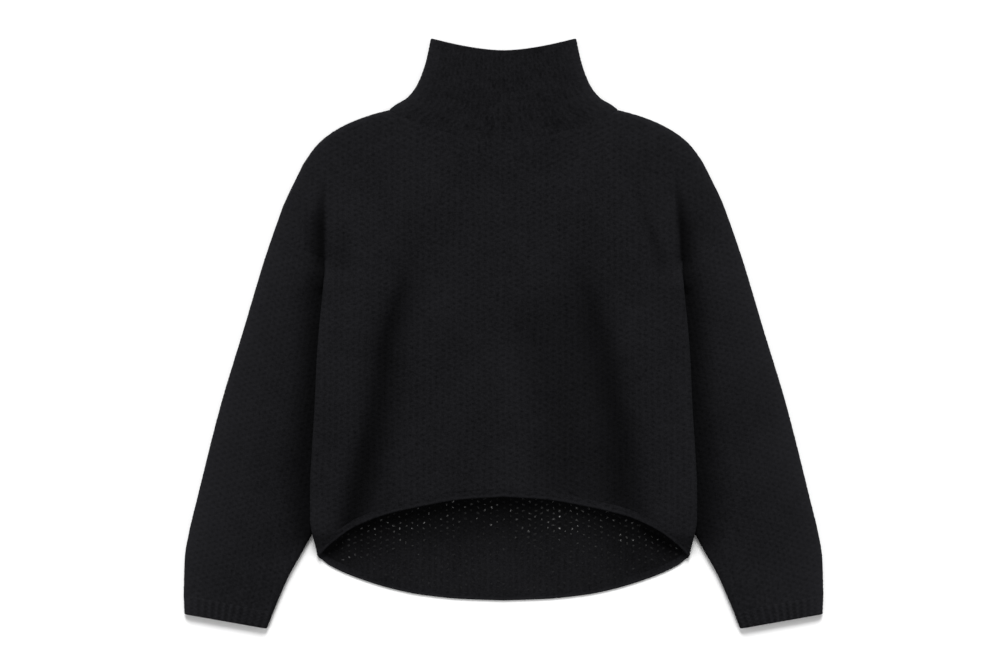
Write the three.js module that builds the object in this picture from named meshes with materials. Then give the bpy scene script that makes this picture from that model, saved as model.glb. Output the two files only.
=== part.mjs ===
// A chunky-knit funnel-neck sweater, lying flat on its back. Millimetres, +Z up from the surface.
// +Y points to the collar and +X to the viewer's right, looking straight down on it.
// Each knitted piece is a wall with an outer and an inner face, and its own closed body.
import * as THREE from "three";

// Cloth
const WALL = 3;
const SEAM_GAP = 0.4;
const LAYER_RISE = 6.6;
const FOLD_REACH = 4.5;
const BACK_MIDDLE = WALL / 2;
const SIDE_FOLD_RUN = 14;

// Body
const HEM_WELT = 10;
const WELT_RAISED = { front: 1, back: 0 };
const WELT_ROWS = [0, 0.5, 1];
const SLEEVE_TOP = LAYER_RISE + WALL;
const BODY_OVER_SLEEVE = SLEEVE_TOP + 0.4;
const SHOULDER_POINT = { x: 295, y: 121 };
const UNDERARM = { x: 228, y: 95.5 };
const NECK_POINT = { x: 145, y: 284 };
const NECK_SEAM_INSET = { x: 1.3, y: 0.7 };
const FRONT_NECK_DIP = 37;
const BACK_NECK_DIP = 0;
const NECK_CURVE = 2;
const NECK_CORNER_EASE = 1.2;
const NECK_CORNER_SHARPNESS = 30;

// Shoulder outline from the neck point to the top of the armhole
const SHOULDER = [
  { x: 172, y: 277 },
  { x: 202, y: 265 },
  { x: 231, y: 246 },
  { x: 252, y: 220 },
  { x: 265, y: 195 },
  { x: 277, y: 170 },
  { x: 287, y: 144 },
];

// Side fold of the body, from the underarm down to the hem
const SIDE = [
  { y: 95.5, x: 227.5 },
  { y: 55, x: 229 },
  { y: 17, x: 233 },
  { y: -34, x: 237 },
  { y: -91, x: 239.5 },
  { y: -148, x: 243 },
  { y: -200, x: 245.5 },
  { y: -235, x: 245.5 },
  { y: -262, x: 241 },
  { y: -284, x: 236 },
];

// Lower edges, at each distance from the middle
const HEMS = [
  { x: 0, front: -207.5, back: -340 },
  { x: 54, front: -211, back: -338 },
  { x: 106, front: -220, back: -332.5 },
  { x: 138, front: -227, back: -326 },
  { x: 163, front: -234.5, back: -319 },
  { x: 197, front: -250, back: -307 },
  { x: 222, front: -269, back: -295 },
  { x: 236, front: -283.7, back: -284.3 },
  { x: 240, front: -286, back: -282 },
];

// The two long soft troughs of the front: distance from the middle, at each share of the way down
const TROUGHS = [
  { down: 0, left: 143.7, right: 143.7 },
  { down: 0.2, left: 127, right: 117 },
  { down: 0.385, left: 117.5, right: 97 },
  { down: 0.51, left: 136.5, right: 111 },
  { down: 0.615, left: 152, right: 125 },
  { down: 0.74, left: 162.5, right: 136 },
  { down: 0.83, left: 173.5, right: 147.5 },
  { down: 0.92, left: 185, right: 157.5 },
  { down: 1, left: 196, right: 165 },
];
const TROUGH_SHAPE = {
  left: { depth: 6.6, width: 9.5 },
  right: { depth: 6, width: 13 },
};
const TROUGH_START = { down: 0.3, run: 0.2 };
const TROUGH_END = { down: 0.85, run: 0.15, loss: 0.3 };

// The front's soft heights: a pillow over the whole chest and a lobe outside each trough
const PILLOW = { rise: 4.2, edge: 235, edgeRun: 60, top: 225, topRun: 80 };
const LOBE = { rise: 4.6, sharpness: 1.2, widest: 246, top: 195, topRun: 100 };

// The soft groove above each underarm
const GROOVE = { depth: 3, width: 9, top: 190, topRun: 85, endRun: 12 };

// Where the body lies over the inner edges of the sleeves
const LIFT = { below: 8, belowRun: 30, above: 275, aboveRun: 25 };
const FRONT_LIFT = { start: 64, width: 56 };
const BACK_LIFT = { start: 32, width: 20 };

// Sleeve sections from the armhole to the wrist: where each meets the outer and the inner outline
const SLEEVE = [
  { outerX: 295, outerY: 121, innerX: 228.6, innerY: 95.5 },
  { outerX: 305, outerY: 91, innerX: 229.6, innerY: 62 },
  { outerX: 318, outerY: 48, innerX: 218, innerY: 16 },
  { outerX: 331, outerY: 4, innerX: 208, innerY: -28 },
  { outerX: 344, outerY: -38, innerX: 206, innerY: -71 },
  { outerX: 357, outerY: -81, innerX: 209, innerY: -114 },
  { outerX: 369, outerY: -126, innerX: 215, innerY: -160 },
  { outerX: 380, outerY: -170, innerX: 225, innerY: -203 },
  { outerX: 391, outerY: -215, innerX: 238, innerY: -243 },
  { outerX: 400, outerY: -252, innerX: 254, innerY: -274 },
  { outerX: 405.5, outerY: -285, innerX: 273, innerY: -308 },
  { outerX: 407, outerY: -332, innerX: 293, innerY: -354 },
];
const CUFF_END = { outerX: 406, outerY: -357, innerX: 301, innerY: -375 };
const SLEEVE_PLACES = { top: 6, under: 4 };

// Collar: its side outline from the neck point to the top corner
const COLLAR_SIDE = [
  { y: 284, x: 145 },
  { y: 290, x: 137 },
  { y: 297, x: 125 },
  { y: 309, x: 114 },
  { y: 322, x: 107 },
  { y: 347, x: 98.5 },
  { y: 375, x: 92.5 },
];
const COLLAR_TOP_DIP = 15;
const COLLAR_TOP_CURVE = 1.6;
const COLLAR_ROWS = [1, 0.8, 0.6, 0.4, 0.22, 0.08, 0];
const COLLAR_UNDER_PLACES = 5;
const COLLAR_RIBS = 32;
const CUFF_RIBS = 12;
const POINTS_A_RIB = { collar: 3, cuff: 4 };
const RIB_HEIGHT = 1.3;

// Yarn colours and finish
const YARN = { front: 0x1b1b1c, back: 0x19191a, rib: 0x1e1e20 };
const YARN_ROUGHNESS = 0.95;

// Numbers of the reckoning itself
const TINY = 0.01;
const HALVINGS = 50;
const HEM_CORNER_ROOM = 5;

const clamp = (value, low, high) => Math.min(Math.max(value, low), high);

// From 0 to 1 with level ends
function ease(value) {
  const t = clamp(value, 0, 1);
  return t * t * (3 - 2 * t);
}

// A smooth curve through a table's rows that never overshoots: the column `to` as a function of `from`
function through(table, from, to) {
  const rows = [...table].sort((a, b) => a[from] - b[from]);
  const slope = (k) => (rows[k + 1][to] - rows[k][to]) / (rows[k + 1][from] - rows[k][from]);
  const bend = rows.map((_, k) => {
    if (k === 0) return slope(0);
    if (k === rows.length - 1) return slope(k - 1);
    const before = slope(k - 1);
    const after = slope(k);
    return before * after <= 0 ? 0 : (2 * before * after) / (before + after);
  });
  return (value) => {
    const at = clamp(value, rows[0][from], rows[rows.length - 1][from]);
    let k = 0;
    while (k < rows.length - 2 && at > rows[k + 1][from]) k += 1;
    const span = rows[k + 1][from] - rows[k][from];
    const t = (at - rows[k][from]) / span;
    const rest = 1 - t;
    return (
      rows[k][to] * (1 + 2 * t) * rest * rest +
      rows[k + 1][to] * (3 - 2 * t) * t * t +
      bend[k] * span * t * rest * rest -
      bend[k + 1] * span * t * t * rest
    );
  };
}

// The outline moved half a wall inwards, to the middle of a wall that folds over there
function inset(outline) {
  return outline.map((point, k) => {
    const before = outline[Math.max(k - 1, 0)];
    const after = outline[Math.min(k + 1, outline.length - 1)];
    const length = Math.hypot(after.x - before.x, after.y - before.y);
    return {
      x: point.x + ((after.y - before.y) / length) * (WALL / 2),
      y: point.y - ((after.x - before.x) / length) * (WALL / 2),
    };
  });
}

const neckHalf = NECK_POINT.x - NECK_SEAM_INSET.x;
const neckSide = NECK_POINT.y - NECK_SEAM_INSET.y;
const neckLine = (dip) => (x) =>
  neckSide - dip * (1 - clamp(Math.abs(x) / neckHalf, 0, 1) ** NECK_CURVE);
const frontNeck = neckLine(FRONT_NECK_DIP);
const backNeck = neckLine(BACK_NECK_DIP);

const shoulderMiddle = [
  { x: neckHalf, y: frontNeck(neckHalf) },
  ...inset([NECK_POINT, ...SHOULDER, SHOULDER_POINT]).slice(1, -1),
  { x: SHOULDER_POINT.x - WALL / 2, y: SHOULDER_POINT.y },
];
const shoulder = through(shoulderMiddle, "x", "y");
const sideOutline = through(SIDE, "y", "x");
const sleeveInner = through(
  SLEEVE.map((row) => ({ x: row.innerX, y: row.innerY })),
  "y",
  "x",
);
const sleeveOuterMiddle = SLEEVE.map((row) => ({ x: row.outerX - WALL / 2, y: row.outerY }));
const hem = {
  front: through(HEMS, "x", "front"),
  back: through(HEMS, "x", "back"),
};
const troughAt = {
  left: through(TROUGHS, "down", "left"),
  right: through(TROUGHS, "down", "right"),
};

// How far a side edge has turned from an open seam, at the underarm, into a fold, below it
const folded = (y) => ease((UNDERARM.y - y) / SIDE_FOLD_RUN);

// The side edge of both body panels: the armhole seam first, then the side fold
function bodyEdge(y) {
  if (y < UNDERARM.y) return sideOutline(y) - (WALL / 2) * folded(y);
  const up = (y - UNDERARM.y) / (SHOULDER_POINT.y - UNDERARM.y);
  return sideOutline(UNDERARM.y) + up * (SHOULDER_POINT.x - WALL / 2 - sideOutline(UNDERARM.y));
}

// Shortest distance in plan from a point to a chain of points
function distanceTo(chain, x, y) {
  let least = Infinity;
  for (let k = 0; k + 1 < chain.length; k += 1) {
    const run = chain[k + 1].x - chain[k].x;
    const fall = chain[k + 1].y - chain[k].y;
    const share = ((x - chain[k].x) * run + (y - chain[k].y) * fall) / (run * run + fall * fall);
    const t = clamp(share, 0, 1);
    least = Math.min(least, Math.hypot(x - chain[k].x - t * run, y - chain[k].y - t * fall));
  }
  return least;
}

// The fold's line along the shoulder and the start of the sleeve
const FOLD_STEPS = 4;
const upperFold = [];
for (let k = 0; k + 1 < shoulderMiddle.length; k += 1)
  for (let step = 0; step < FOLD_STEPS; step += 1) {
    const span = shoulderMiddle[k + 1].x - shoulderMiddle[k].x;
    const x = shoulderMiddle[k].x + (span * step) / FOLD_STEPS;
    upperFold.push({ x, y: shoulder(x) });
  }
upperFold.push(...sleeveOuterMiddle.slice(0, 3));

// A quarter ellipse: 0 on the fold's line, 1 from the fold's reach inwards
const rounded = (distance) =>
  Math.sqrt(1 - (1 - clamp(distance / FOLD_REACH, 0, 1)) ** 2);

// Where the body lies over the inner edge of a sleeve its layers are lifted, the front's more widely
function liftOverSleeve(x, y, { start, width }) {
  const below = ease((UNDERARM.y - LIFT.below - y) / LIFT.belowRun);
  const above = ease((y + LIFT.above) / LIFT.aboveRun);
  return BODY_OVER_SLEEVE * below * above * ease((Math.abs(x) - sleeveInner(y) + start) / width);
}

// Middle of the back's wall, before its edges curl up
const backLevel = (x, y) => BACK_MIDDLE + liftOverSleeve(x, y, BACK_LIFT);

const bell = (distance, width) => Math.exp(-((distance / width) ** 2));

// Middle of the front's wall, before its edges turn down
function frontLevel(x, y, down) {
  const side = x < 0 ? "left" : "right";
  const out = Math.abs(x);
  const trough = troughAt[side](down);
  const pillow =
    PILLOW.rise * ease((PILLOW.edge - out) / PILLOW.edgeRun) * ease((PILLOW.top - y) / PILLOW.topRun);
  const edge = Math.min(sideOutline(y), LOBE.widest);
  const acrossLobe = clamp((out - trough) / (edge - trough), 0, 1);
  const lobe =
    LOBE.rise * Math.sin(Math.PI * acrossLobe) ** LOBE.sharpness * ease((LOBE.top - y) / LOBE.topRun);
  const { depth, width } = TROUGH_SHAPE[side];
  const sunk =
    depth *
    bell(out - trough, width) *
    ease((down - TROUGH_START.down) / TROUGH_START.run) *
    (1 - TROUGH_END.loss * ease((down - TROUGH_END.down) / TROUGH_END.run));
  const groove =
    GROOVE.depth *
    bell(out - UNDERARM.x, GROOVE.width) *
    ease((GROOVE.top - y) / GROOVE.topRun) *
    ease((y - UNDERARM.y + GROOVE.endRun) / GROOVE.endRun);
  const flat = BACK_MIDDLE + LAYER_RISE + liftOverSleeve(x, y, FRONT_LIFT);
  return flat + pillow + lobe - sunk - groove;
}

// Both panels meet half-way up at the shoulder and the side, where they fold into each other
function panelHeight(layer, x, y, down) {
  const front = frontLevel(x, y, down);
  const back = backLevel(x, y);
  const seam = (front + back) / 2;
  const sideTurn = 1 - folded(y) * (1 - rounded(bodyEdge(y) - Math.abs(x)));
  const open = sideTurn * rounded(distanceTo(upperFold, Math.abs(x), y));
  const half = (front - back) / 2 - SEAM_GAP / 2;
  const rise = SEAM_GAP / 2 + half * open;
  return layer === "front" ? seam + rise : seam - rise;
}

// A closed wall round a grid of points on its middle surface. Rows run down the garment, and
// points run so that (down x across) faces out. settle may turn a point's outward direction.
function wall(middle, { ring = false, raised = () => 0, settle = () => {} } = {}) {
  const rows = middle.length;
  const across = middle[0].length;
  const at = (j, i) =>
    middle[clamp(j, 0, rows - 1)][ring ? (i + across) % across : clamp(i, 0, across - 1)];
  const outer = [];
  const inner = [];
  for (let j = 0; j < rows; j += 1)
    for (let i = 0; i < across; i += 1) {
      const down = at(j + 1, i).clone().sub(at(j - 1, i));
      const beside = at(j, i + 1).clone().sub(at(j, i - 1));
      const out = down.clone().cross(beside).normalize();
      settle(out, j, i, beside, down);
      outer.push(at(j, i).clone().addScaledVector(out, WALL / 2 + raised(j, i)));
      inner.push(at(j, i).clone().addScaledVector(out, -WALL / 2));
    }
  const faces = [];
  const shift = outer.length;
  const quad = (a, b, c, d) => faces.push(a, b, c, a, c, d);
  const index = (j, i) => j * across + (i % across);
  const spans = ring ? across : across - 1;
  for (let i = 0; i < spans; i += 1) {
    for (let j = 0; j < rows - 1; j += 1) {
      const [a, b, c, d] = [index(j, i), index(j + 1, i), index(j + 1, i + 1), index(j, i + 1)];
      quad(a, b, c, d);
      quad(d + shift, c + shift, b + shift, a + shift);
    }
    const [top, nextTop] = [index(0, i), index(0, i + 1)];
    const [end, nextEnd] = [index(rows - 1, i), index(rows - 1, i + 1)];
    quad(top, nextTop, nextTop + shift, top + shift);
    quad(nextEnd, end, end + shift, nextEnd + shift);
  }
  if (!ring)
    for (let j = 0; j < rows - 1; j += 1) {
      const [left, nextLeft] = [index(j, 0), index(j + 1, 0)];
      const [right, nextRight] = [index(j, across - 1), index(j + 1, across - 1)];
      quad(nextLeft, left, left + shift, nextLeft + shift);
      quad(right, nextRight, nextRight + shift, right + shift);
    }
  const geometry = new THREE.BufferGeometry();
  const points = [...outer, ...inner].flatMap((point) => point.toArray());
  geometry.setAttribute("position", new THREE.Float32BufferAttribute(points, 3));
  geometry.setIndex(faces);
  geometry.computeVertexNormals();
  return geometry;
}

// Keeps a seam's rim upright over the line of the seam, so two rims face each other squarely
function upright(out, along) {
  const square = new THREE.Vector3(-along.y, along.x, 0).normalize();
  out.addScaledVector(square, -out.dot(square)).normalize();
}

// Turns a rim level, where two walls meet in a fold; `share` is how far it has turned
function level(out, share) {
  out.z *= 1 - share;
  out.normalize();
}

// Places across half a panel: the fold's quarter turn, then out to the trough, then to the middle
function acrossHalf(beyondTrough, withinTrough) {
  const turn = [0, 0.25, 0.5, 0.75].map((share) => ({ turn: share }));
  const beyond = beyondTrough.map((share) => ({ beyond: share }));
  return [...turn, ...beyond, ...withinTrough.map((share) => ({ within: share }))];
}
function placeAcross(place, edge, knot) {
  if (place.turn !== undefined)
    return edge - FOLD_REACH * (1 - Math.cos((place.turn * Math.PI) / 2));
  if (place.beyond !== undefined)
    return edge - FOLD_REACH + place.beyond * (knot - edge + FOLD_REACH);
  return knot * (1 - place.within);
}
const PANEL_PLACES = {
  front: acrossHalf(
    [0, 0.18, 0.38, 0.58, 0.75, 0.87, 0.94, 1],
    [0.06, 0.13, 0.22, 0.34, 0.48, 0.65, 0.82, 1],
  ),
  back: acrossHalf([0, 0.12, 0.26, 0.42, 0.6, 1], [0.06, 0.5, 1]),
};

const BACK_PLACES_ROOM = 60;

// Rows down a panel: shares of the armhole's height first, then heights of the side edge
const ARMHOLE_ROWS = [0, 0.0025, 0.01, 0.022, 0.038, 0.1, 0.22, 0.4, 0.65];
const SIDE_ROWS = [
  UNDERARM.y, 90, 84, 77, 70, 63, 56, 40, 15, -15, -50, -90, -130, -170, -203, -230, -250, -258, -266,
];

// The whole row of a panel: left places first, then right, mirrored for the back
function panelRow(layer, top, bottom, down, edge, share) {
  const row = [];
  const places = PANEL_PLACES[layer];
  const put = (side, place) => {
    const knot =
      layer === "front" ? troughAt[side](down) : Math.min(neckHalf, edge - BACK_PLACES_ROOM);
    const out = placeAcross(place, edge, knot);
    const x = side === "left" ? -out : out;
    const y = top(x) + (bottom(x) - top(x)) * share;
    row.push(new THREE.Vector3(x, y, panelHeight(layer, x, y, down)));
  };
  places.forEach((place) => put("left", place));
  [...places].reverse().slice(1).forEach((place) => put("right", place));
  return layer === "front" ? row : row.reverse();
}

const panelTop = {
  front: (x) => (Math.abs(x) < neckHalf ? frontNeck(x) - SEAM_GAP / 2 : shoulder(Math.abs(x))),
  back: (x) => (Math.abs(x) < neckHalf ? backNeck(x) - SEAM_GAP / 2 : shoulder(Math.abs(x))),
};
const panelBottom = {
  front: (x) => hem.front(Math.abs(x)) + HEM_WELT,
  back: (x) => hem.back(Math.abs(x)) + HEM_WELT,
};

// Front or back of the body, from the neck and shoulders down to the hem's welt
function bodyPanel(layer) {
  const top = panelTop[layer];
  const bottom = panelBottom[layer];
  const shareAt = (y) => {
    const edge = bodyEdge(y);
    return (top(edge) - y) / (top(edge) - bottom(edge));
  };
  const armholeRows = ARMHOLE_ROWS.map((part) => {
    const share = part * shareAt(UNDERARM.y);
    return { share, y: edgeHeight(top, bottom, share) };
  });
  const sideRows = SIDE_ROWS.map((y) => ({ share: shareAt(y), y }));
  const rows = [...armholeRows, ...sideRows, { share: 1, y: edgeHeight(top, bottom, 1) }];
  const middle = rows.map(({ share, y }) =>
    panelRow(layer, top, bottom, share, bodyEdge(y), share),
  );
  const last = middle[0].length - 1;
  const settle = (out, j, i, beside) => {
    const point = middle[j][i];
    const onSide = i === 0 || i === last;
    const onTop = j === 0;
    if (onTop && Math.abs(point.x) >= neckHalf - TINY) level(out, 1);
    if (onSide && rows[j].y < UNDERARM.y) level(out, folded(rows[j].y));
    if (onTop && Math.abs(point.x) <= neckHalf + TINY) upright(out, neckTangent(layer, point.x));
    if (onSide && rows[j].y >= UNDERARM.y) upright(out, armholeTangent(point.x));
    if (j === rows.length - 1) upright(out, beside);
  };
  return wall(middle, { settle });
}

// Height of the side edge where the row at this share of the way down meets it, by halving a range
function edgeHeight(top, bottom, share) {
  let low = SIDE[SIDE.length - 1].y - HEM_CORNER_ROOM;
  let high = SHOULDER_POINT.y;
  for (let step = 0; step < HALVINGS; step += 1) {
    const y = (low + high) / 2;
    const edge = bodyEdge(y);
    if (top(edge) + (bottom(edge) - top(edge)) * share > y) low = y;
    else high = y;
  }
  return (low + high) / 2;
}

// Directions along the neck's seam and along the armhole's
function neckTangent(layer, x) {
  const line = layer === "front" ? frontNeck : backNeck;
  const at = Math.sign(x) * Math.min(Math.abs(x), neckHalf);
  return new THREE.Vector3(2 * TINY, line(at + TINY) - line(at - TINY), 0);
}
function armholeTangent(x) {
  const run = SHOULDER_POINT.x - UNDERARM.x;
  return new THREE.Vector3(Math.sign(x) * run, SHOULDER_POINT.y - UNDERARM.y, 0);
}

// Ribbed welt along a lower edge: the panel's own surface carried on, a little thicker
function hemWelt(layer) {
  const edgeLine = (x) => hem[layer](Math.abs(x));
  const top = (x) => edgeLine(x) + HEM_WELT - SEAM_GAP;
  const middle = WELT_ROWS.map((share) => {
    const y = edgeHeight(top, edgeLine, share);
    return panelRow(layer, top, edgeLine, 1, bodyEdge(y), share);
  });
  const last = middle[0].length - 1;
  const lowest = WELT_ROWS.length - 1;
  const raised = (j) => (j === 0 ? WELT_RAISED[layer] / 2 : WELT_RAISED[layer]);
  const settle = (out, j, i, beside) => {
    if (i === 0 || i === last) level(out, 1);
    if (j === 0 || j === lowest) upright(out, beside);
  };
  return wall(middle, { settle, raised });
}

const TUBE_TURNS = [0.3, 0.62, 1];

// Places round a flattened tube: the fold at the outer edge, over the top, the inner fold, back under
function tubeRound(topPlaces, underPlaces) {
  const half = (places, sign) => [
    ...TUBE_TURNS.map((turn) => ({ near: turn, sign })),
    ...places.map((share) => ({ share, sign })),
    ...[...TUBE_TURNS].reverse().map((turn) => ({ far: turn, sign })),
  ];
  return [
    { near: 0, sign: 1 },
    ...half(topPlaces, 1),
    { far: 0, sign: 1 },
    ...half(underPlaces, -1).reverse(),
  ];
}
const evenly = (count) => Array.from({ length: count }, (_, k) => (k + 1) / (count + 1));

// One section of a flattened tube between two points of the wall's middle
function tubeSection(places, start, end) {
  const length = Math.hypot(end.x - start.x, end.y - start.y);
  const reach = FOLD_REACH / length;
  const half = LAYER_RISE / 2;
  return places.map((place) => {
    const turn = place.near ?? place.far;
    const inward = turn === undefined ? 0 : reach * (1 - Math.cos((turn * Math.PI) / 2));
    const lift = turn === undefined ? 1 : Math.sin((turn * Math.PI) / 2);
    let share = inward;
    if (place.far !== undefined) share = 1 - inward;
    if (place.share !== undefined) share = reach + place.share * (1 - 2 * reach);
    return new THREE.Vector3(
      start.x + (end.x - start.x) * share,
      start.y + (end.y - start.y) * share,
      BACK_MIDDLE + half + place.sign * half * lift,
    );
  });
}

// The middle points of a sleeve section on one side, moved half a wall in at both folds
function sectionEnds(row, side) {
  return {
    start: { x: side * (row.outerX - WALL / 2), y: row.outerY },
    end: { x: side * (row.innerX + WALL / 2), y: row.innerY },
  };
}

// A sleeve or cuff through its section rows; the gap of a seam is taken off its upper end
function sleeveTube(sections, places, side, raised) {
  const order = side < 0 ? places : [...places].reverse();
  const middle = sections.map((row) => {
    const { start, end } = sectionEnds(row, side);
    return tubeSection(order, start, end);
  });
  const settle = (out, j) => {
    if (j !== 0 && j !== sections.length - 1) return;
    const { start, end } = sectionEnds(sections[j], side);
    upright(out, new THREE.Vector3(end.x - start.x, end.y - start.y, 0));
  };
  return wall(middle, { ring: true, settle, raised: (j, i) => raised(order[i]) });
}
const lowered = (row, by) => ({ ...row, outerY: row.outerY - by, innerY: row.innerY - by });

function sleeve(side) {
  const places = tubeRound(evenly(SLEEVE_PLACES.top), evenly(SLEEVE_PLACES.under));
  const sections = [lowered(SLEEVE[0], SEAM_GAP / 2), ...SLEEVE.slice(1)];
  return sleeveTube(sections, places, side, () => 0);
}

// Ribs stand on the upper face alone: the underside lies flat on the surface
function cuff(side) {
  const places = tubeRound(evenly(CUFF_RIBS * POINTS_A_RIB.cuff - 1), evenly(SLEEVE_PLACES.under));
  const top = lowered(SLEEVE[SLEEVE.length - 1], SEAM_GAP);
  const mid = Object.fromEntries(
    Object.keys(top).map((key) => [key, (top[key] + CUFF_END[key]) / 2]),
  );
  const raised = (place) =>
    place.share === undefined || place.sign < 0 ? 0 : rib(place.share * CUFF_RIBS);
  return sleeveTube([top, mid, CUFF_END], places, side, raised);
}
const rib = (turns) => RIB_HEIGHT * (0.5 - 0.5 * Math.cos(2 * Math.PI * turns));

// Collar: a tube folded flat, with its rows hung between the side outlines
const collarSide = through(COLLAR_SIDE, "y", "x");
function collar() {
  const topPlaces = evenly(COLLAR_RIBS * POINTS_A_RIB.collar - 1);
  const places = tubeRound(topPlaces, evenly(COLLAR_UNDER_PLACES));
  const top = COLLAR_SIDE[COLLAR_SIDE.length - 1].y;
  const bottom = frontNeck(neckHalf) + SEAM_GAP / 2;
  const middle = COLLAR_ROWS.map((share) => {
    const sideY = bottom + (top - bottom) * share;
    const sideX = share === 0 ? neckHalf : collarSide(sideY) - WALL / 2;
    const ends = [
      { x: -sideX, y: sideY },
      { x: sideX, y: sideY },
    ];
    return tubeSection(places, ...ends).map((point, i) => {
      const out = Math.min(Math.abs(point.x) / sideX, 1);
      const lower = places[i].sign > 0 ? FRONT_NECK_DIP : BACK_NECK_DIP;
      const dip = share * COLLAR_TOP_DIP * (1 - out ** COLLAR_TOP_CURVE);
      point.y -= dip + (1 - share) * lower * (1 - out ** NECK_CURVE);
      point.y += (1 - share) * NECK_CORNER_EASE * out ** NECK_CORNER_SHARPNESS;
      return point;
    });
  });
  const settle = (out, j, i) => {
    const point = middle[j][i];
    const layer = places[i].sign > 0 ? "front" : "back";
    if (j === COLLAR_ROWS.length - 1) upright(out, neckTangent(layer, point.x));
  };
  const raised = (j, i) => {
    const place = places[i];
    return place.share === undefined || place.sign < 0 ? 0 : rib(place.share * COLLAR_RIBS);
  };
  return wall(middle, { ring: true, settle, raised });
}

const pieces = [
  ["front_panel", bodyPanel("front"), YARN.front],
  ["back_panel", bodyPanel("back"), YARN.back],
  ["left_sleeve", sleeve(-1), YARN.front],
  ["right_sleeve", sleeve(1), YARN.front],
  ["collar", collar(), YARN.rib],
  ["left_cuff", cuff(-1), YARN.rib],
  ["right_cuff", cuff(1), YARN.rib],
  ["front_hem", hemWelt("front"), YARN.rib],
  ["back_hem", hemWelt("back"), YARN.rib],
];

const sweater = new THREE.Group();
for (const [name, geometry, color] of pieces) {
  const material = new THREE.MeshStandardMaterial({ color, roughness: YARN_ROUGHNESS, metalness: 0 });
  const mesh = new THREE.Mesh(geometry, material);
  mesh.name = name;
  sweater.add(mesh);
}

// The origin is under the middle of the laid garment, on the surface
const box = new THREE.Box3().setFromObject(sweater);
sweater.position.set(-(box.min.x + box.max.x) / 2, -(box.min.y + box.max.y) / 2, -box.min.z);

export default sweater;
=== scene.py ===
# %% [markdown]
# # A chunky-knit funnel-neck sweater, laid flat
# The garment lies on its back on a pale studio floor and is looked at from straight above.
# Nine pieces were knitted and linked together: front and back, two sleeves with their cuffs,
# a collar, and a narrow welt along each hem. Each of them is rebuilt here round its plain solid.
# Everything is in metres in the solids' own frame: +X across, +Y to the collar, +Z off the floor.

import bpy
import numpy as np
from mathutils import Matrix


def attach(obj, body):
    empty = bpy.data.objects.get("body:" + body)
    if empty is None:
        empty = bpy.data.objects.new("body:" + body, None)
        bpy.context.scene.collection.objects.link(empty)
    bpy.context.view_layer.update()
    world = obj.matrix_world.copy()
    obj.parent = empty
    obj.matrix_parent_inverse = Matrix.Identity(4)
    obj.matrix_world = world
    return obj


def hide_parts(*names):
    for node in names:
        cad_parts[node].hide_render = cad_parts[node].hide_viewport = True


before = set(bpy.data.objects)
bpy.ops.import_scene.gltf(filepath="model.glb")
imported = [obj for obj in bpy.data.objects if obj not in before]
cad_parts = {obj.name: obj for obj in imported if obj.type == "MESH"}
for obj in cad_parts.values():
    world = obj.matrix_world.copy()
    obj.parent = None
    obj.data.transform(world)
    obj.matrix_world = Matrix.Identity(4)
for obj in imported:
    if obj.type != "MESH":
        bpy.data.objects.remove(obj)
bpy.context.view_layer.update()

# %% [markdown]
# ## The cut of the garment
# A knitter works from a chart: where each edge runs, row by row. The same chart gave the solids
# their form, so the detailed pieces start from the same numbers, in millimetres, and fit exactly.

# %% Chart of the edges
MM = 0.001
WALL = 3.0  # thickness of the knit
SEAM_GAP = 0.06  # between linked pieces
LAYER_RISE = 6.6  # from the middle of the lower layer to that of the upper one
FOLD_REACH = 4.5  # how far in from its line a fold is round
BACK_MIDDLE = WALL / 2
HEM_WELT = 10.0  # height of the band
BODY_OVER_SLEEVE = 10.0  # how far the sleeve's inner edge lifts the body
UNDERARM_X, UNDERARM_Y = 228.0, 95.5
ARMHOLE_X, ARMHOLE_Y = 295, 121  # where the shoulder line ends and the armhole seam begins
NECK_DIP = {"front": 37.0, "back": 0.0}
NECK_HALF, NECK_SIDE = 143.7, 283.3
HEM_SIDE = -289.0

# The shoulder and the hems are (x, y), the sides (y, x), the troughs (share of the way down, x).
SHOULDER = [(145, 284), (172, 277), (202, 265), (231, 246), (252, 220), (265, 195), (277, 170),
            (287, 144), (ARMHOLE_X, ARMHOLE_Y)]
SIDE = [(95.5, 227.5), (55, 229), (17, 233), (-34, 237), (-91, 239.5), (-148, 243), (-200, 245.5),
        (-235, 245.5), (-262, 241), (-284, 236)]
HEM_FRONT = [(0, -207.5), (54, -211), (106, -220), (138, -227), (163, -234.5), (197, -250),
             (222, -269), (236, -283.7), (240, -286)]
HEM_BACK = [(0, -340), (54, -338), (106, -332.5), (138, -326), (163, -319), (197, -307),
            (222, -295), (236, -284.3), (240, -282)]
TROUGH_LEFT = [(0, 143.7), (0.2, 127), (0.385, 117.5), (0.51, 136.5), (0.615, 152), (0.74, 162.5),
               (0.83, 173.5), (0.92, 185), (1, 196)]
TROUGH_RIGHT = [(0, 143.7), (0.2, 117), (0.385, 97), (0.51, 111), (0.615, 125), (0.74, 136),
                (0.83, 147.5), (0.92, 157.5), (1, 165)]
# Down the sleeve: x and y of the outer edge, then x and y of the inner edge.
SLEEVE = [(ARMHOLE_X, ARMHOLE_Y, 227.7, 96.13), (305, 91, 227.9, 62), (318, 48, 218, 16),
          (331, 4, 208, -28), (344, -38, 206, -71), (357, -81, 209, -114), (369, -126, 215, -160),
          (380, -170, 225, -203), (391, -215, 238, -243), (400, -252, 254, -274),
          (405.5, -285, 273, -308), (407, -332, 293, -354)]
CUFF_END = (406, -357, 301, -375)
COLLAR_TOP = 375
COLLAR_SIDE = [(284, 145), (290, 137), (297, 125), (309, 114), (322, 107), (347, 98.5),
               (COLLAR_TOP, 92.5)]
COLLAR_TOP_DIP = 15.0
COLLAR_RIBS, CUFF_RIBS, RIB_HEIGHT = 32, 12, 1.3


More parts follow.
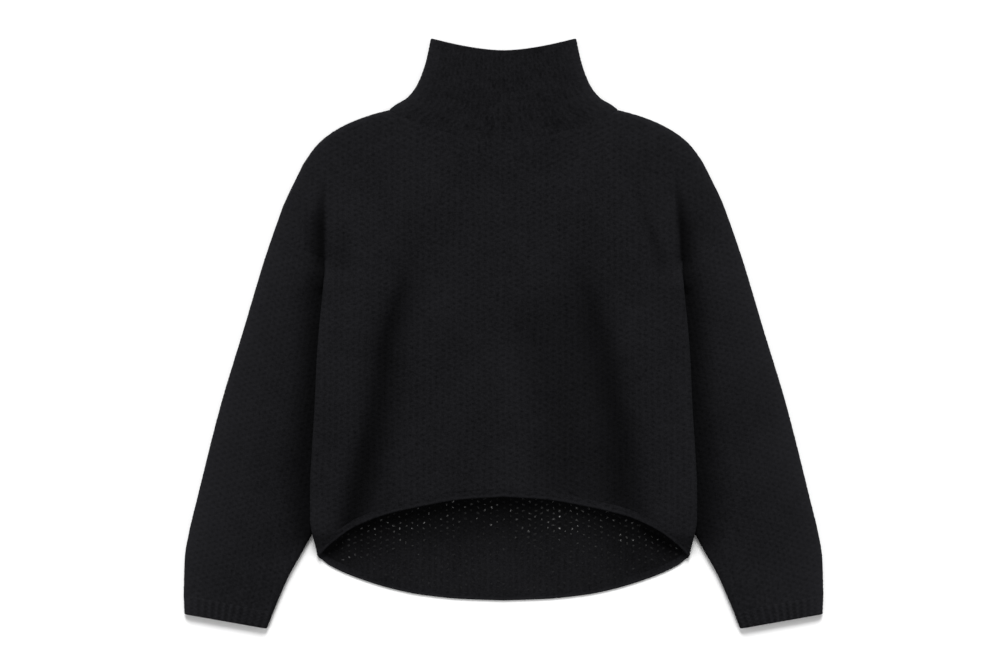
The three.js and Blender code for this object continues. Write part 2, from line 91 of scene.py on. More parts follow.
def ease(value):
    """3 t squared minus 2 t cubed, with t held between 0 and 1: a step with level ends."""
    t = np.clip(value, 0, 1)
    return t * t * (3 - 2 * t)


def through(points):
    """A cubic between each two points; slopes are harmonic means of those on either side."""
    x, y = np.array(sorted(points), float).T
    slope = np.diff(y) / np.diff(x)
    before, after = slope[:-1], slope[1:]
    turning = before * after <= 0
    mean = np.where(turning, 0, 2 * before * after / np.where(turning, 1, before + after))
    bend = np.r_[slope[0], mean, slope[-1]]

    def curve(value):
        """Height of the cubic at a value, which is held within the points."""
        at = np.clip(value, x[0], x[-1])
        k = np.clip(np.searchsorted(x, at, side="left") - 1, 0, len(x) - 2)
        span = x[k + 1] - x[k]
        t = (at - x[k]) / span
        rest = 1 - t
        ends = y[k] * (1 + 2 * t) * rest**2 + y[k + 1] * (3 - 2 * t) * t**2
        return ends + span * t * rest * (bend[k] * rest - bend[k + 1] * t)

    return curve


def neck_line(layer, x):
    """The neck's seam: a parabola hung between the two neck points."""
    return NECK_SIDE - NECK_DIP[layer] * (1 - np.clip(np.abs(x) / NECK_HALF, 0, 1) ** 2)


def inset(outline):
    """Each point of an outline moved half a wall inwards, square to its neighbours' line."""
    p = np.array(outline, float)
    run = np.gradient(p, axis=0)
    run /= np.linalg.norm(run, axis=1, keepdims=True)
    return p + np.c_[run[:, 1], -run[:, 0]] * WALL / 2


shoulder_middle = inset(SHOULDER)
shoulder_middle[0] = NECK_HALF, NECK_SIDE
shoulder_middle[-1] = ARMHOLE_X - WALL / 2, ARMHOLE_Y
shoulder = through(shoulder_middle.tolist())
side_outline = through(SIDE)
sleeve_inner = through([(row[3], row[2]) for row in SLEEVE])
hem_line = {"front": through(HEM_FRONT), "back": through(HEM_BACK)}
trough_left, trough_right = through(TROUGH_LEFT), through(TROUGH_RIGHT)
print("front length at the middle, mm:", float(neck_line("front", 0) - hem_line["front"](0)))

# %% [markdown]
# ## How high the cloth lies
# Front and back lie on each other and fold into each other at the shoulders and the sides. The
# body also lies over the inner edge of each sleeve, which lifts it. Two long soft troughs run down
# the front where the cloth sinks between the sleeves' edges and the flat middle. A height field, a
# height for each point of the plan, says all this in a few smooth steps and needs no simulation.

# %% Heights of front and back
FOLD_START = 14.0
TROUGH_DEPTH = {"left": 6.6, "right": 6.0}
TROUGH_WIDTH = {"left": 9.5, "right": 13.0}


def folded(y):
    """0 at the underarm, where the edge is an open seam, to 1 below it, where it is a fold."""
    return ease((UNDERARM_Y - y) / FOLD_START)


def body_edge(y):
    """The side edge of both panels: along the armhole seam, then down the side fold."""
    start, end = side_outline(UNDERARM_Y), ARMHOLE_X - WALL / 2
    armhole = start + (y - UNDERARM_Y) / (ARMHOLE_Y - UNDERARM_Y) * (end - start)
    return np.where(y < UNDERARM_Y, side_outline(y) - WALL / 2 * folded(y), armhole)


def distance_to(chain, x, y):
    """The shortest distance in plan from each point to a chain of points."""
    least = np.full(x.shape, 1e9)
    for (ax, ay), (bx, by) in zip(chain[:-1], chain[1:]):
        run, fall = bx - ax, by - ay
        t = np.clip(((x - ax) * run + (y - ay) * fall) / (run * run + fall * fall), 0, 1)
        least = np.minimum(least, np.hypot(x - ax - t * run, y - ay - t * fall))
    return least


fold_x = np.linspace(NECK_HALF, ARMHOLE_X - WALL / 2, 40)
upper_fold = [*zip(fold_x, shoulder(fold_x)), *[(row[0] - WALL / 2, row[1]) for row in SLEEVE[1:3]]]


def rounded(distance):
    """A quarter ellipse: 0 on the line of the fold, 1 from the fold's reach inwards."""
    return np.sqrt(1 - (1 - np.clip(distance / FOLD_REACH, 0, 1)) ** 2)


def lift_over_sleeve(x, y, start, width):
    """How far the layers are lifted beside and over the inner edge of the sleeve."""
    below = ease((UNDERARM_Y - 8 - y) / 30)
    above = ease((y + 275) / 25)
    return BODY_OVER_SLEEVE * below * above * ease((np.abs(x) - sleeve_inner(y) + start) / width)


def back_level(x, y):
    """Middle of the back's wall: on the floor, and lifted over the sleeve's edge."""
    return BACK_MIDDLE + lift_over_sleeve(x, y, 32, 20)


def underarm_groove(out, y):
    """The soft groove that runs up from the underarm: a bell across, fading upwards."""
    return 3 * np.exp(-(((out - UNDERARM_X) / 9) ** 2)) * ease((190 - y) / 85)


def front_level(x, y, down):
    """Middle of the front's wall: a pillow and a lobe at each side, less troughs and grooves."""
    left = x < 0
    out = np.abs(x)
    trough = np.where(left, trough_left(down), trough_right(down))
    depth = np.where(left, TROUGH_DEPTH["left"], TROUGH_DEPTH["right"])
    width = np.where(left, TROUGH_WIDTH["left"], TROUGH_WIDTH["right"])
    edge = np.minimum(side_outline(y), UNDERARM_X + 18)
    pillow = 4.2 * ease((235 - out) / 60) * ease((225 - y) / 80)
    across_lobe = np.clip((out - trough) / (edge - trough), 0, 1)
    lobe = 4.6 * np.sin(np.pi * across_lobe) ** 1.2 * ease((195 - y) / 100)
    troughs = depth * np.exp(-(((out - trough) / width) ** 2)) * ease((down - 0.3) / 0.2)
    troughs *= 1 - 0.3 * ease((down - 0.85) / 0.15)
    groove = underarm_groove(out, y) * ease((y - UNDERARM_Y + 12) / 12)
    lift = lift_over_sleeve(x, y, 64, 56)
    return BACK_MIDDLE + LAYER_RISE + lift + pillow + lobe - troughs - groove


def panel_height(layer, x, y, down):
    """Front and back meet half-way between their levels at a fold and part over its reach."""
    front, back = front_level(x, y, down), back_level(x, y)
    side_turn = 1 - folded(y) * (1 - rounded(body_edge(y) - np.abs(x)))
    parted = side_turn * rounded(distance_to(upper_fold, np.abs(x), y))
    rise = SEAM_GAP / 2 + ((front - back) / 2 - SEAM_GAP / 2) * parted
    return (front + back) / 2 + (rise if layer == "front" else -rise)


# %% [markdown]
# ## Stitches
# The body is knitted in a tuck stitch that leaves small pits in staggered columns, like a
# honeycomb. A pattern of crossed waves gives just that: three cosines that agree at each pit. It
# is worked out in numpy for the meshes and once more in the material, from the same coordinates,
# so that the fine shading falls on the modelled pits.

# %% Stitch pattern
COLUMN, PITCH = 7.84, 7.4  # from column to column, and from pit to pit down a column, in mm
SLEEVE_COLUMN, SLEEVE_PITCH = 6.9, 7.9
SLEEVE_LEAN = np.radians(12.5)
PIT_DEPTH = 0.32


def pits(u, v):
    """1 in each pit, 0 between: the waves cos(2 pi u) + 2 cos(pi u) cos(2 pi v), scaled."""
    waves = 2 * np.cos(np.pi * u) * np.cos(2 * np.pi * v) + np.cos(2 * np.pi * u)
    return np.clip((waves + 1.5) / 4.5, 0, 1) ** 1.4


def drift(x, y, seed, size, waves=7):
    """A smooth field from about -1 to 1: plane waves in seeded directions, about size mm long."""
    rng = np.random.default_rng(seed)
    total = np.zeros(np.shape(x))
    for _ in range(waves):
        way, phase = rng.uniform(0, 2 * np.pi, 2)
        length = size * rng.uniform(0.7, 1.6)
        total += np.sin(2 * np.pi * (x * np.cos(way) + y * np.sin(way)) / length + phase)
    return total / waves**0.5 / 1.4


def nap(x, y):
    """The uneven surface of brushed yarn, in mm: a fine drift that also roughens the outlines."""
    return 0.2 * drift(x, y, 21, 3.6, 11)


def body_stitches(x, y):
    """Columns run down the body, a little unevenly, as hand-fed yarn leaves them."""
    return (x + 1.3 * drift(x, y, 3, 120)) / COLUMN, (y + 1.5 * drift(x, y, 4, 90)) / PITCH


def sleeve_stitches(x, y):
    """Columns lean outwards with the sleeve."""
    out = np.abs(x)
    across = (out - 300) * np.cos(SLEEVE_LEAN) + y * np.sin(SLEEVE_LEAN)
    along = (out - 300) * np.sin(SLEEVE_LEAN) - y * np.cos(SLEEVE_LEAN)
    across = across + 1.2 * drift(x, y, 5, 110)
    along = along + 1.4 * drift(x, y, 6, 90)
    return across / SLEEVE_COLUMN, along / SLEEVE_PITCH


# %% [markdown]
# ## A wall of knitting as a mesh
# Real knitting has a thickness, so each piece is a closed wall: a fine grid for the face that
# shows, a coarse one for the face that doesn't, and a strip of triangles round the rim that joins
# the two. The rim of a free edge is rounded by thinning the wall over the last millimetres.
# Each wall also carries marks for the material, a share from 0 to 1 at every point: painted shade
# in the troughs and grooves, beside the body and under the front hem, painted highlight near the
# folds and edges, painted light of the floor in loose stitches, and ribbing where the knit is
# ribbed. All are formulas of the place on the garment.

# %% Wall builder
CRISP_ANGLE = 62  # an edge that bends more than this, in degrees, is shaded crisp


def strip(fine, coarse, kept, flip):
    """Triangles between a fine chain and the coarse chain made of its kept places."""
    span = np.searchsorted(kept, np.arange(len(fine) - 1), side="right") - 1
    a = np.c_[fine[:-1], fine[1:], coarse[span]]
    b = np.c_[fine[kept[1:]], coarse[1:], coarse[:-1]]
    both = np.r_[a, b]
    return both[:, ::-1] if flip else both


def kept_places(count, stride):
    """Every stride-th place and always the last."""
    return np.unique(np.r_[np.arange(0, count - 1, stride), count - 1])


def across_grid(grid, ring):
    """Change along a row of a grid, by central differences."""
    if ring:
        return np.roll(grid, -1, 1) - np.roll(grid, 1, 1)
    return np.gradient(grid, axis=1)


def wall_normals(middle, ring):
    """(change down) x (change across), made one long: it points out of the wall's outer face."""
    out = np.cross(np.gradient(middle, axis=0), across_grid(middle, ring))
    return out / np.linalg.norm(out, axis=2, keepdims=True)


def upright(out, tangent):
    """Turns normals on a seam so that the rim stands straight over the seam's line."""
    square = np.stack([-tangent[..., 1], tangent[..., 0], np.zeros(tangent.shape[:-1])], -1)
    square /= np.linalg.norm(square, axis=-1, keepdims=True)
    out = out - (out * square).sum(-1, keepdims=True) * square
    return out / np.linalg.norm(out, axis=-1, keepdims=True)


def level(out, share):
    """Turns normals on a fold's edge flat."""
    out = out * np.stack([np.ones_like(share), np.ones_like(share), 1 - share], -1)
    return out / np.linalg.norm(out, axis=-1, keepdims=True)


def wall(name, outer, inner, uv, marks, ring=False, stride=6):
    """A closed mesh from two grids of points in mm, the inner one thinned to every stride-th place.

    Marks are shares for the material, 0 on the inner face. Nothing goes below the floor.
    """
    for face in (outer, inner):
        face[..., 2] = np.maximum(face[..., 2], 0)
    rows, columns = outer.shape[:2]
    fine = np.arange(rows * columns).reshape(rows, columns)
    if ring:
        fine = np.c_[fine, fine[:, :1]]
    row_kept, column_kept = kept_places(rows, stride), kept_places(fine.shape[1], stride)
    shift = rows * columns
    coarse = fine[np.ix_(row_kept, column_kept)] + shift
    front = np.stack([fine[:-1, :-1], fine[1:, :-1], fine[1:, 1:], fine[:-1, 1:]], -1)
    back = np.stack([coarse[:-1, 1:], coarse[1:, 1:], coarse[1:, :-1], coarse[:-1, :-1]], -1)
    quads = np.r_[front.reshape(-1, 4), back.reshape(-1, 4)]
    triangles = [
        strip(fine[0], coarse[0], column_kept, False),
        strip(fine[-1], coarse[-1], column_kept, True),
    ]
    if not ring:
        triangles.append(strip(fine[:, 0], coarse[:, 0], row_kept, True))
        triangles.append(strip(fine[:, -1], coarse[:, -1], row_kept, False))
    points = np.r_[outer.reshape(-1, 3), inner.reshape(-1, 3)] * MM
    table = np.r_[uv.reshape(-1, 2), uv.reshape(-1, 2)]
    marks = {mark: np.r_[values.ravel(), np.zeros(values.size)] for mark, values in marks.items()}
    return mesh_object(name, points, [quads, np.concatenate(triangles)], table, marks)


def mesh_object(name, points, faces, uv, marks):
    """A mesh object from a table of points and, for each size of face, a table of its corners."""
    corners = np.concatenate([f.ravel() for f in faces])
    used, corners = np.unique(corners, return_inverse=True)
    sizes = np.concatenate([np.full(len(f), f.shape[1]) for f in faces])
    mesh = bpy.data.meshes.new(name)
    mesh.vertices.add(len(used))
    mesh.vertices.foreach_set("co", points[used].astype(np.float32).ravel())
    mesh.loops.add(len(corners))
    mesh.loops.foreach_set("vertex_index", corners.astype(np.int32))
    mesh.polygons.add(len(sizes))
    mesh.polygons.foreach_set("loop_start", np.r_[0, np.cumsum(sizes)[:-1]].astype(np.int32))
    mesh.update(calc_edges=True)
    mesh.validate()
    layer = mesh.uv_layers.new(name="stitches")
    layer.data.foreach_set("uv", uv[used][corners].astype(np.float32).ravel())
    for mark, values in marks.items():
        shares = mesh.attributes.new(mark, "FLOAT", "POINT").data
        shares.foreach_set("value", values[used].astype(np.float32))
    mesh.polygons.foreach_set("use_smooth", np.ones(len(sizes), bool))
    mesh.set_sharp_from_angle(angle=np.radians(CRISP_ANGLE))
    piece = bpy.data.objects.new(name, mesh)
    bpy.context.scene.collection.objects.link(piece)
    print(name, "triangles:", int((sizes - 2).sum()))
    return piece


def finish_piece(piece):
    """Puts a piece under the root body and hides the plain solid that it replaces."""
    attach(piece, "root")
    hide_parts(piece.name.removeprefix("knit_"))


# %% [markdown]
# ## Front and back of the body
# Both panels were knitted flat as one width and shaped at the shoulders. Their rows are blended
# between the upper edge, neck and shoulders, and the curved hem, and run out to the armhole seam
# and then to the side fold. Places across crowd together in the fold, where the cloth turns over.

# %% Grid of a body panel
NECK_SHARE = NECK_HALF / (ARMHOLE_X - WALL / 2 - FOLD_REACH)


def panel_lines(layer):
    """Upper and lower edge of a panel, as functions of x."""
    def top(x):
        seam = neck_line(layer, x) - SEAM_GAP / 2
        return np.where(np.abs(x) < NECK_HALF, seam, shoulder(np.abs(x)))

    def bottom(x):
        return hem_line[layer](np.abs(x)) + HEM_WELT

    return top, bottom


def edge_height(top, bottom, share):
    """Height at which each row meets the side edge, by halving the range fifty times."""
    low, high = np.full(share.shape, HEM_SIDE), np.full(share.shape, float(ARMHOLE_Y))
    for _ in range(50):
        y = (low + high) / 2
        edge = body_edge(y)
        above = top(edge) + (bottom(edge) - top(edge)) * share > y
        low, high = np.where(above, y, low), np.where(above, high, y)
    return (low + high) / 2


def places_across(edge, half_count):
    """Places from -edge to edge: crowded in the folds, even between, one on the neck point."""
    within = int(round(half_count * NECK_SHARE))
    beside = np.linspace(NECK_SHARE, 1, half_count - within + 1)[1:]
    even = np.r_[np.linspace(0, NECK_SHARE, within + 1), beside]
    turn = np.cos(np.linspace(1, 0, 9)[1:] * np.pi / 2)
    edge = edge[:, None]
    out = np.concatenate([even * (edge - FOLD_REACH), edge - FOLD_REACH * (1 - turn)], 1)
    return np.concatenate([-out[:, :0:-1], out], 1)


def panel_grid(top, bottom, shares, half_count):
    """The plan of a panel: x, y and the share of the way down, row by row."""
    x = places_across(body_edge(edge_height(top, bottom, shares)), half_count)
    down = np.broadcast_to(shares[:, None], x.shape)
    y = top(x) + (bottom(x) - top(x)) * down
    return x, y, down


def neck_tangent(layer, x, step):
    """The way the neck's seam runs at x: its rise over two steps, as a table of vectors."""
    rise = (neck_line(layer, x + step) - neck_line(layer, x - step)) / (2 * step)
    return np.stack([np.ones_like(rise), rise, 0 * rise], -1)


def panel_wall(layer, x, y, down, seam_top=True):
    """Points and normals of a panel's middle surface, with the rims set upright or level."""
    middle = np.stack([x, y, panel_height(layer, x, y, down)], -1)
    if layer == "back":
        middle = middle[:, ::-1]
    out = wall_normals(middle, False)
    mx, my = middle[..., 0], middle[..., 1]
    if seam_top:
        neck = np.abs(mx[0]) <= NECK_HALF + 0.01
        stood = upright(out[0], neck_tangent(layer, mx[0], 0.01))
        out[0] = np.where(neck[:, None], stood, level(out[0], np.ones_like(mx[0])))
    for column in (0, -1):
        edge = my[:, column]
        seam = np.array([1.0, 0, 0]) * np.sign(mx[:, column])[:, None] * (ARMHOLE_X - UNDERARM_X)
        seam[:, 1] = ARMHOLE_Y - UNDERARM_Y
        turned = level(out[:, column], folded(edge))
        stood = upright(out[:, column], seam)
        out[:, column] = np.where((edge >= UNDERARM_Y)[:, None], stood, turned)
    along = np.gradient(middle[-1], axis=0)
    out[-1] = upright(out[-1], along)
    return middle, out


PANEL_LENGTH = 450  # about a panel's length, in mm
front_top, front_bottom = panel_lines("front")
underarm_fall = front_top(SIDE[0][1]) - UNDERARM_Y
underarm_share = float(underarm_fall / (front_top(SIDE[0][1]) - front_bottom(SIDE[0][1])))
fold_rows = np.array([0, 0.3, 0.8, 1.5, 2.4, 3.4, 4.5]) / PANEL_LENGTH
hem_rows = 1 - np.array([1.2, 0.5, 0.15, 0]) / PANEL_LENGTH
print("share of the way down at the underarm:", round(underarm_share, 4))

# %% Front panel
above_underarm = np.linspace(0.013, underarm_share, 84)
below_underarm = np.linspace(underarm_share, 0.996, 203)
front_rows = np.r_[fold_rows, above_underarm, below_underarm, hem_rows]
front_shares = np.unique(np.round(front_rows, 6))
x, y, down = panel_grid(front_top, front_bottom, front_shares, 143)


def soft_creases(x, y):
    """Small ridges and hollows of the front, in mm: long bell curves on slanting lines."""
    rows = [  # middle x, y, half length, half width, lean in degrees, height
        (176, 128, 52, 8, 18, 0.9), (190, 118, 50, 7, 18, -1.3), (-190, 120, 50, 8, -6, 0.7),
        (-204, 100, 40, 7, -4, -0.8), (-221, 140, 42, 5, 0, 1.0), (216, 145, 42, 5, 3, 1.0),
        (95, -15, 80, 20, 20, -0.9), (60, 40, 60, 18, 25, 0.6),
        (-70, 20, 70, 22, -25, 0.8), (-40, -120, 80, 26, -12, 0.7), (70, -150, 70, 22, 15, -0.8),
        (0, 190, 90, 24, 90, -0.7), (-120, 200, 70, 16, 60, 0.8), (130, 205, 70, 16, -60, 0.8),
    ]
    total = np.zeros(x.shape)
    for cx, cy, length, width, lean, height in rows:
        a = np.radians(lean)
        along = (x - cx) * np.sin(a) - (y - cy) * np.cos(a)
        across = (x - cx) * np.cos(a) + (y - cy) * np.sin(a)
        total += height * np.exp(-((along / length) ** 2) - (across / width) ** 2)
    return total


def inside_rims(shape, rows=(3, 3), columns=(8, 8)):
    """1 on the face of a grid, easing to 0 over its outermost rows and columns."""
    j, i = np.arange(shape[0])[:, None], np.arange(shape[1])[None]
    ends = (j / rows[0], (shape[0] - 1 - j) / rows[1])
    sides = (*ends, i / columns[0], (shape[1] - 1 - i) / columns[1])
    return np.prod(np.broadcast_arrays(*[ease(side) for side in sides]), axis=0)


def off_seams(x, y):
    """1 on a panel's face and on its folds, easing to 0 towards the neck, armhole and hem seams."""
    j, i = np.arange(x.shape[0])[:, None], np.arange(x.shape[1])[None]
    at_top, at_side = 1 - ease(j / 8), 1 - ease(np.minimum(i, x.shape[1] - 1 - i) / 5)
    top = 1 - at_top * (1 - ease((np.abs(x) - NECK_HALF - 4) / 6))
    side = 1 - at_side * (1 - ease((UNDERARM_Y - 12 - y) / 8))
    return top * side * ease((x.shape[0] - 1 - j) / 3)


def bell(distance, inner, outer):
    """exp(-(d / w) squared), with one width w towards the body's middle and one away from it."""
    return np.exp(-((distance / np.where(distance < 0, inner, outer)) ** 2))


def trough_shade(x, down):
    """Painted shade along both troughs, and on the right also a slow darkening towards the middle.
    """
    left, out = x < 0, np.abs(x)
    left_line = trough_left(down) - 5 * ease((down - 0.55) / 0.1)
    right_line = trough_right(down) - 12 * ease((down - 0.78) / 0.16)
    off = out - np.where(left, left_line, right_line)
    deep = np.where(left, 0.55 + 0.12 * ease((down - 0.7) / 0.2), 0.27)
    begin = np.where(left, ease((down - 0.28) / 0.3), ease((down - 0.2) / 0.35))
    narrow = np.where(left, bell(off, 21 + 7 * ease((down - 0.6) / 0.3), 22), bell(off, 22, 27))
    slope = 0.3 * ease((off + 135) / 70) * bell(off, 1000, 27) * ease((down - 0.3) / 0.35)
    return deep * begin * narrow + np.where(left, 0, slope)


def underarm_shade(x, y):
    """Painted shade above each underarm, where the cloth dives under the body's edge: sharp inside,
    soft outside.
    """
    line = np.where(x < 0, 229.5, 227 - 5.5 * np.clip((y - 95) / 90, 0, 1))
    reach = 5 + 13 * ease((190 - y) / 62)
    return 0.8 * bell(np.abs(x) - line, 3.5, reach) * ease((215 - y) / 85) * ease((y - 86) / 8)


def front_shade(x, y, down):
    """How much shade is painted into each hollow and crease of the front, from 0 to 1."""
    across = (x - 190) * 0.95 + (y - 118) * 0.31
    slanting = np.exp(-((across / 7) ** 2) - ((y - 118) / 50) ** 2) * 0.3
    left_pull = np.exp(-(((x + 204) / 8) ** 2) - ((y - 100) / 40) ** 2) * 0.15
    return np.maximum(trough_shade(x, down), underarm_shade(x, y)) + slanting + left_pull


def outer_highlight(distance, y):
    """Painted highlight near an outer fold, at a distance from it in mm."""
    broad = (0.1 + 0.1 * ease((150 - y) / 60)) * ease((290 - y) / 60)
    return 0.34 * np.exp(-distance / 10) + broad * np.exp(-((distance / 60) ** 2))


def front_highlight(x, y):
    """Painted highlight beside the upper folds, and a little along the side folds."""
    to_fold = distance_to(upper_fold, np.abs(x), y)
    to_side = np.abs(body_edge(y) - np.abs(x))
    return outer_highlight(to_fold, y) + 0.12 * np.exp(-to_side / 6) * folded(y)


middle, out = panel_wall("front", x, y, down)
face = inside_rims(x.shape, (8, 3), (5, 5))
middle[..., 2] += soft_creases(x, y) * face
u, v = body_stitches(x, y)
relief = 0.25 - PIT_DEPTH * pits(u, v)
brushed = nap(x, y) * off_seams(x, y)
outer = middle + out * (WALL / 2 + relief * face + brushed)[..., None]
inner = middle - out * WALL / 2
# Painted shade in the troughs, grooves and creases, painted highlight beside the folds.
front_marks = {"painted_shade": front_shade(x, y, down), "painted_highlight": front_highlight(x, y)}
front_panel = wall("knit_front_panel", outer, inner, np.stack([u, v], -1), front_marks, stride=6)

# %% Back panel
back_top, back_bottom = panel_lines("back")
hidden_rows, shown_rows = np.linspace(0.013, 0.72, 60), np.linspace(0.725, 0.997, 105)
back_shares = np.unique(np.round(np.r_[fold_rows, hidden_rows, shown_rows, hem_rows], 6))
x, y, down = panel_grid(back_top, back_bottom, back_shares, 130)
middle, out = panel_wall("back", x, y, down)
x, y = middle[..., 0], middle[..., 1]
u, v = body_stitches(x, y)
face = inside_rims(x.shape, (8, 4), (10, 10)) * ease((-150 - y) / 20)
relief = 0.1 - PIT_DEPTH * 0.4 * pits(u, v)
upper = middle - out * (WALL / 2 + relief * face)[..., None]
under = middle + out * WALL / 2
beyond = hem_line["front"](np.abs(x)) - y
below_hem = np.maximum(beyond, 0)
# Painted shadow of the front hem: darkest 14 mm below it, paler at x = 92 mm and at the corners,
# dark round 165 mm.
painted_shade = 0.87 * np.exp(-((below_hem / 46) ** 2.2)) * (0.6 + 0.4 * ease(below_hem / 14))
painted_shade *= 1 - 0.22 * np.exp(-(((x - 92) / 50) ** 2))
painted_shade *= 1 - 0.4 * np.exp(-(((np.abs(x) - 238) / 35) ** 2))
painted_shade = np.maximum(painted_shade, 0.48 * np.exp(-(((x - 165) / 55) ** 2) - ((below_hem - 35) / 42) ** 2))
# Painted light of the floor through loose stitches, most of it round x = 85 mm.
clusters = 0.4 + 0.6 * np.exp(-(((x - 85) / 80) ** 2)) + 0.15 * np.exp(-(((x + 118) / 35) ** 2))
glow = np.exp(-((below_hem / 36) ** 2)) * clusters * ease((beyond + 8) / 8)
back_marks = {"painted_shade": painted_shade[:, ::-1], "glow": glow[:, ::-1]}
back_uv = np.stack([u, v], -1)[:, ::-1]
back_panel = wall("knit_back_panel", upper[:, ::-1], under[:, ::-1], back_uv, back_marks, stride=5)

# %% [markdown]
# ## Welts along the hems
# A welt is a narrow folded band that keeps a knitted edge from curling. It carries the panel's
# surface on for a centimetre, a little thicker, with its lower edge rolled.

# %% Hem welts
def rim_round(distance, radius=1.5, least=0.12):
    """Share of the wall's thickness near a free edge: a quarter circle of the radius given."""
    t = np.clip(distance / radius, 0, 1)
    return np.maximum(np.sqrt(1 - (1 - t) ** 2), least)


def hem_welt(layer, half_count):
    """The band between the panel's lower edge and the hem's line."""
    def line(x):
        return hem_line[layer](np.abs(x))

    def top(x):
        return line(x) + HEM_WELT - SEAM_GAP / 3

    shares = np.r_[0, 0.02, 0.05, np.linspace(0.1, 0.85, 11), 0.89, 0.925, 0.955, 0.98, 0.993, 1]
    x, y, _ = panel_grid(top, line, shares, half_count)
    middle, out = panel_wall(layer, x, y, np.ones_like(x), seam_top=False)
    out[0] = upright(out[0], np.gradient(middle[0], axis=0))
    x, y = middle[..., 0], middle[..., 1]
    share = np.broadcast_to(shares[:, None], x.shape)
    u, v = body_stitches(x, y)
    above_roll = ease(share / 0.05) * ease((0.8 - share) / 0.2)
    roll = np.sin(np.pi * np.clip((share - 0.6) / 0.4, 0, 1)) ** 0.7
    relief = (0.25 - PIT_DEPTH * pits(u, v)) * above_roll + 0.55 * roll
    relief = relief + nap(x, y) * ease(share / 0.1)
    thick = WALL / 2 * rim_round((1 - share) * HEM_WELT)
    over = middle + out * (thick + relief * (layer == "front"))[..., None]
    under = middle - out * thick[..., None]
    # Painted highlight along the rolled lower edge.
    return over, under, np.stack([u, v], -1), {"painted_highlight": 0.2 * roll}


over, under, uv, marks = hem_welt("front", 180)
front_hem = wall("knit_front_hem", over, under, uv, marks, stride=6)
over, under, uv, marks = hem_welt("back", 180)
# The back's welt gets twice the painted highlight.
marks = {"painted_highlight": 2 * marks["painted_highlight"][:, ::-1]}
back_hem = wall("knit_back_hem", under[:, ::-1], over[:, ::-1], uv[:, ::-1], marks, stride=6)

# %% [markdown]
# ## Sleeves, cuffs and collar
# These are tubes pressed flat. A section runs over the top, round the far fold and back underneath,
# and the sections follow each other down the sleeve. The fold is a quarter ellipse on each face.
# Just below the underarm the seam draws the sleeve's inner fold up to the body.

# %% Flattened tubes
def tube_places(top_count, under_count, turns=8):
    """The places round a flattened tube: kind, share round the fold or across, and side.

    Kind is 0 in the near fold, 1 between the folds, 2 in the far one; side is 1 above, -1 below.
    """
    turn = np.linspace(0, 1, turns + 1)
    even_top = np.arange(1, top_count) / top_count
    even_under = np.arange(1, under_count) / under_count
    near = [(0, t, 1) for t in turn]
    top = [(1, s, 1) for s in even_top]
    far = [(2, t, 1) for t in turn[::-1]]
    far_under = [(2, t, -1) for t in turn[1:]]
    under = [(1, s, -1) for s in even_under[::-1]]
    near_under = [(0, t, -1) for t in turn[::-1][:-1]]
    return np.array(near + top + far + far_under + under + near_under)


def tube_sections(places, start, end):
    """Each section's middle points between its start and end, both tables of (x, y)."""
    kind, t, sign = places.T
    length = np.linalg.norm(end - start, axis=1)[:, None]
    reach = FOLD_REACH / length
    inward = reach * (1 - np.cos(t * np.pi / 2))
    between = reach + t * (1 - 2 * reach)
    share = np.where(kind == 0, inward, np.where(kind == 2, 1 - inward, between))
    lift = np.where(kind == 1, 1, np.sin(t * np.pi / 2))
    xy = start[:, None] + (end - start)[:, None] * share[..., None]
    half = LAYER_RISE / 2
    z = BACK_MIDDLE + half + sign * half * np.broadcast_to(lift, share.shape)
    return np.concatenate([xy, z[..., None]], -1), share


def rib(turns):
    """A rounded rib for each whole turn, from 0 between ribs to its full height."""
    return RIB_HEIGHT * (0.5 - 0.5 * np.cos(2 * np.pi * turns)) ** 0.8


# %% Sleeves
SLEEVE_ROWS = 300


def section_ends(table, side):
    """Middle points of the wall at the outer and the inner fold, from a table of outline points."""
    start = np.stack([side * (table[:, 0] - WALL / 2), table[:, 1]], -1)
    end = np.stack([side * (table[:, 2] + WALL / 2), table[:, 3]], -1)
    return start, end


def side_tube(table, side, top_count):
    """The tube on an outline table: places, middle points, shares across, normals and widths."""
    start, end = section_ends(table, side)
    places = tube_places(top_count, 12)
    if side > 0:
        places = places[::-1]
    middle, share = tube_sections(places, start, end)
    out = wall_normals(middle, True)
    seam = np.concatenate([end - start, np.zeros((len(end), 1))], 1)
    for row in (0, -1):
        out[row] = upright(out[row], np.broadcast_to(seam[row], out[row].shape))
    return places, middle, share, out, np.linalg.norm(end - start, axis=1)[:, None]


def sleeve_table():
    """The sleeve's outline rows, smoothed and set close together down its length."""
    rows = np.array(SLEEVE, float)
    rows[0, 1::2] -= SEAM_GAP / 2
    length = np.r_[0, np.cumsum(np.hypot(*np.diff(rows[:, :2], axis=0).T))]
    last = length[-1]
    at = np.unique(np.r_[0, 0.5, 1.2, np.linspace(2.2, last - 1.6, SLEEVE_ROWS), last - 0.6, last])
    return np.stack([through(list(zip(length, column)))(at) for column in rows.T], -1), at


def sleeve_shade(x, y):
    """Painted shade beside the body, in a band that widens down the sleeve."""
    off = np.maximum(np.abs(x) - side_outline(y), 0)
    width = 18 + 10 * ease((100 - y) / 60) + 8 * ease((-60 - y) / 100)
    beside = 0.7 * np.exp(-((off / width) ** 2.2)) * ease((160 - y) / 50)
    broad = 0.17 * np.exp(-((off / 70) ** 2)) * ease((60 - y) / 120)
    return np.maximum(beside, broad) * ease((y + 300) / 45)


def underarm_rise(y):
    """How far the seam pulls the sleeve's inner fold up below the underarm: two eased steps."""
    return 6 * ease((90 - y) / 16) * ease((y - 48) / 16)


